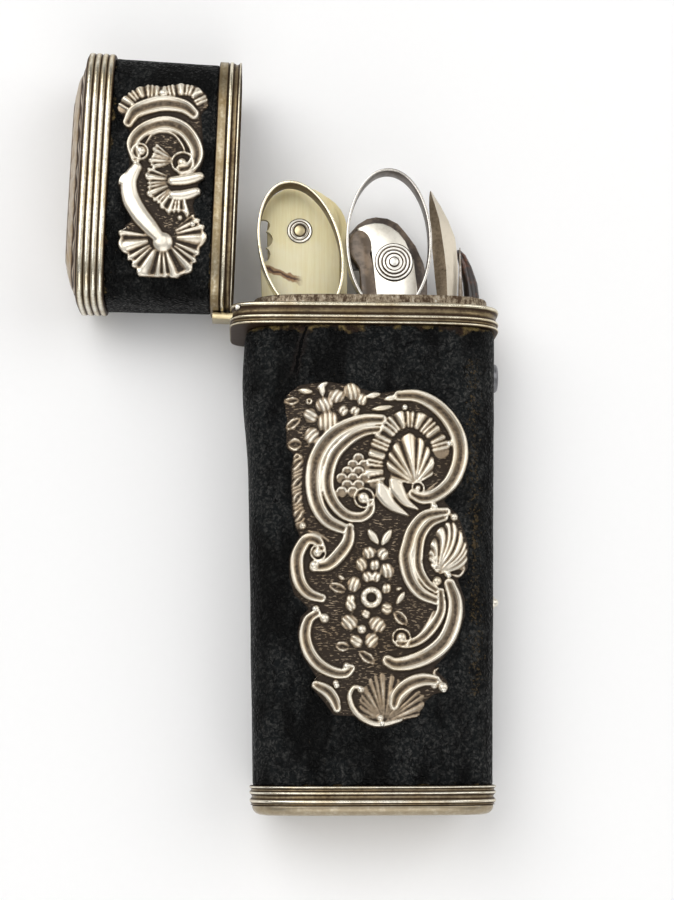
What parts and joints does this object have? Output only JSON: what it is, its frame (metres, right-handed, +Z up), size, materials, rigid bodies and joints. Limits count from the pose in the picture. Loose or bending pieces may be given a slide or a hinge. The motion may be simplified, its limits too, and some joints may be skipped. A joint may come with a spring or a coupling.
{
  "type": "etui",
  "caption": "Tapered oval leather-covered etui with reeded silver mounts and scroll plaques, its side-hinged lid open over scissors, tablets, a folding knife and other small tools.",
  "frame": {"origin": "centre of the bounding box at the surface that the etui lies on, lid open", "axes": "+Y from the base plate towards the lid end and the tools' tips, +Z up, out of the decorated front, +X away from the hinge"},
  "size_m": [0.0659, 0.115, 0.0185],
  "materials": {
    "silver": "polished, tarnished in the hollows",
    "gilt_silver": "warm toned, polished",
    "dull_metal": "dull, toned dark",
    "steel": "worn, some toning",
    "skin": "grained, worn semi gloss",
    "wood": "plain, unpolished",
    "lining": "dull brown",
    "ivory": "smooth, yellowed",
    "tortoiseshell": "polished, mottled"
  },
  "bodies": {
    "case": {"body_core": "wood", "body_skin": "skin", "base_plate": "silver", "base_band": "silver", "body_rim": "silver", "collar": "dull_metal", "tool_block": "wood", "hinge_tubes": "silver", "hinge_pin": "silver", "body_plaque": "silver", "body_plaque_pins": "silver", "button_bush": "dull_metal", "catch_spring": "steel", "spring_rivet": "silver"},
    "catch": {"catch_tongue": "steel", "push_button": "dull_metal"},
    "lid": {"lid_core": "wood", "lid_skin": "skin", "lid_lining": "lining", "lid_rim": "silver", "lid_cap_band": "silver", "lid_dome": "silver", "lid_hinge_tube": "silver", "lid_plaque": "silver", "lid_plaque_pins": "silver"},
    "scissors": {"scissors_screw": "steel"},
    "scissors_left": {"left_bow": "gilt_silver", "left_blade": "steel"},
    "scissors_right": {"right_bow": "silver", "right_blade": "steel"},
    "tablets": {"tablet_back": "ivory", "tablet_rivet": "gilt_silver", "tablet_washers": "silver"},
    "tablet_leaf": {"tablet_front": "ivory"},
    "knife": {"knife_back_scale": "tortoiseshell", "knife_plate": "silver", "knife_front_scale": "tortoiseshell", "knife_pivot": "silver"},
    "knife_blade": {"knife_blade": "steel"},
    "leaf_tool": {"leaf_tool": "silver"},
    "spike": {"steel_spike": "steel"},
    "horn_tool": {"horn_handle": "tortoiseshell"}
  },
  "joints": [
    {"name": "lid_hinge", "type": "hinge", "parent": "case", "child": "lid", "pos_m": [-0.00665, 0.01668, 0.00912], "axis": [0, 0, 1], "range_deg": [-88, 0]},
    {"name": "catch_press", "type": "slide", "parent": "case", "child": "catch", "axis": [-1, 0, 0], "range_m": [0, 0.0006], "stiffness_N_per_m": 600, "springref_m": -0.0002},
    {"name": "scissors_slide", "type": "slide", "parent": "case", "child": "scissors", "axis": [0, 1, 0], "range_m": [0, 0.06]},
    {"name": "scissors_left_swing", "type": "hinge", "parent": "scissors", "child": "scissors_left", "pos_m": [0.00945, -0.00052, 0.00912], "axis": [0, 0, 1], "range_deg": [0, 10]},
    {"name": "scissors_right_swing", "type": "hinge", "parent": "scissors", "child": "scissors_right", "pos_m": [0.00945, -0.00052, 0.00912], "axis": [0, 0, 1], "range_deg": [-10, 0]},
    {"name": "tablets_slide", "type": "slide", "parent": "case", "child": "tablets", "axis": [0, 1, 0], "range_m": [0, 0.042]},
    {"name": "tablet_fan", "type": "hinge", "parent": "tablets", "child": "tablet_leaf", "pos_m": [0.00275, 0.03068, 0.00912], "axis": [0, 0, 1], "range_deg": [0, 1.5]},
    {"name": "knife_slide", "type": "slide", "parent": "case", "child": "knife", "axis": [0, 1, 0], "range_m": [0, 0.047]},
    {"name": "knife_blade_swing", "type": "hinge", "parent": "knife", "child": "knife_blade", "pos_m": [0.0173, 0.02593, 0.00912], "axis": [0, 0, 1], "range_deg": [0, 2.5]},
    {"name": "leaf_tool_slide", "type": "slide", "parent": "case", "child": "leaf_tool", "axis": [0, 1, 0], "range_m": [0, 0.052]},
    {"name": "spike_slide", "type": "slide", "parent": "case", "child": "spike", "axis": [0, 1, 0], "range_m": [0, 0.04]},
    {"name": "horn_tool_slide", "type": "slide", "parent": "case", "child": "horn_tool", "axis": [0, 1, 0], "range_m": [0, 0.044]}
  ],
  "couplings": [
    {"joint": "scissors_left_swing", "follows": "scissors_slide", "rad_per_m": 2.9088},
    {"joint": "scissors_right_swing", "follows": "scissors_slide", "rad_per_m": -2.9088}
  ]
}
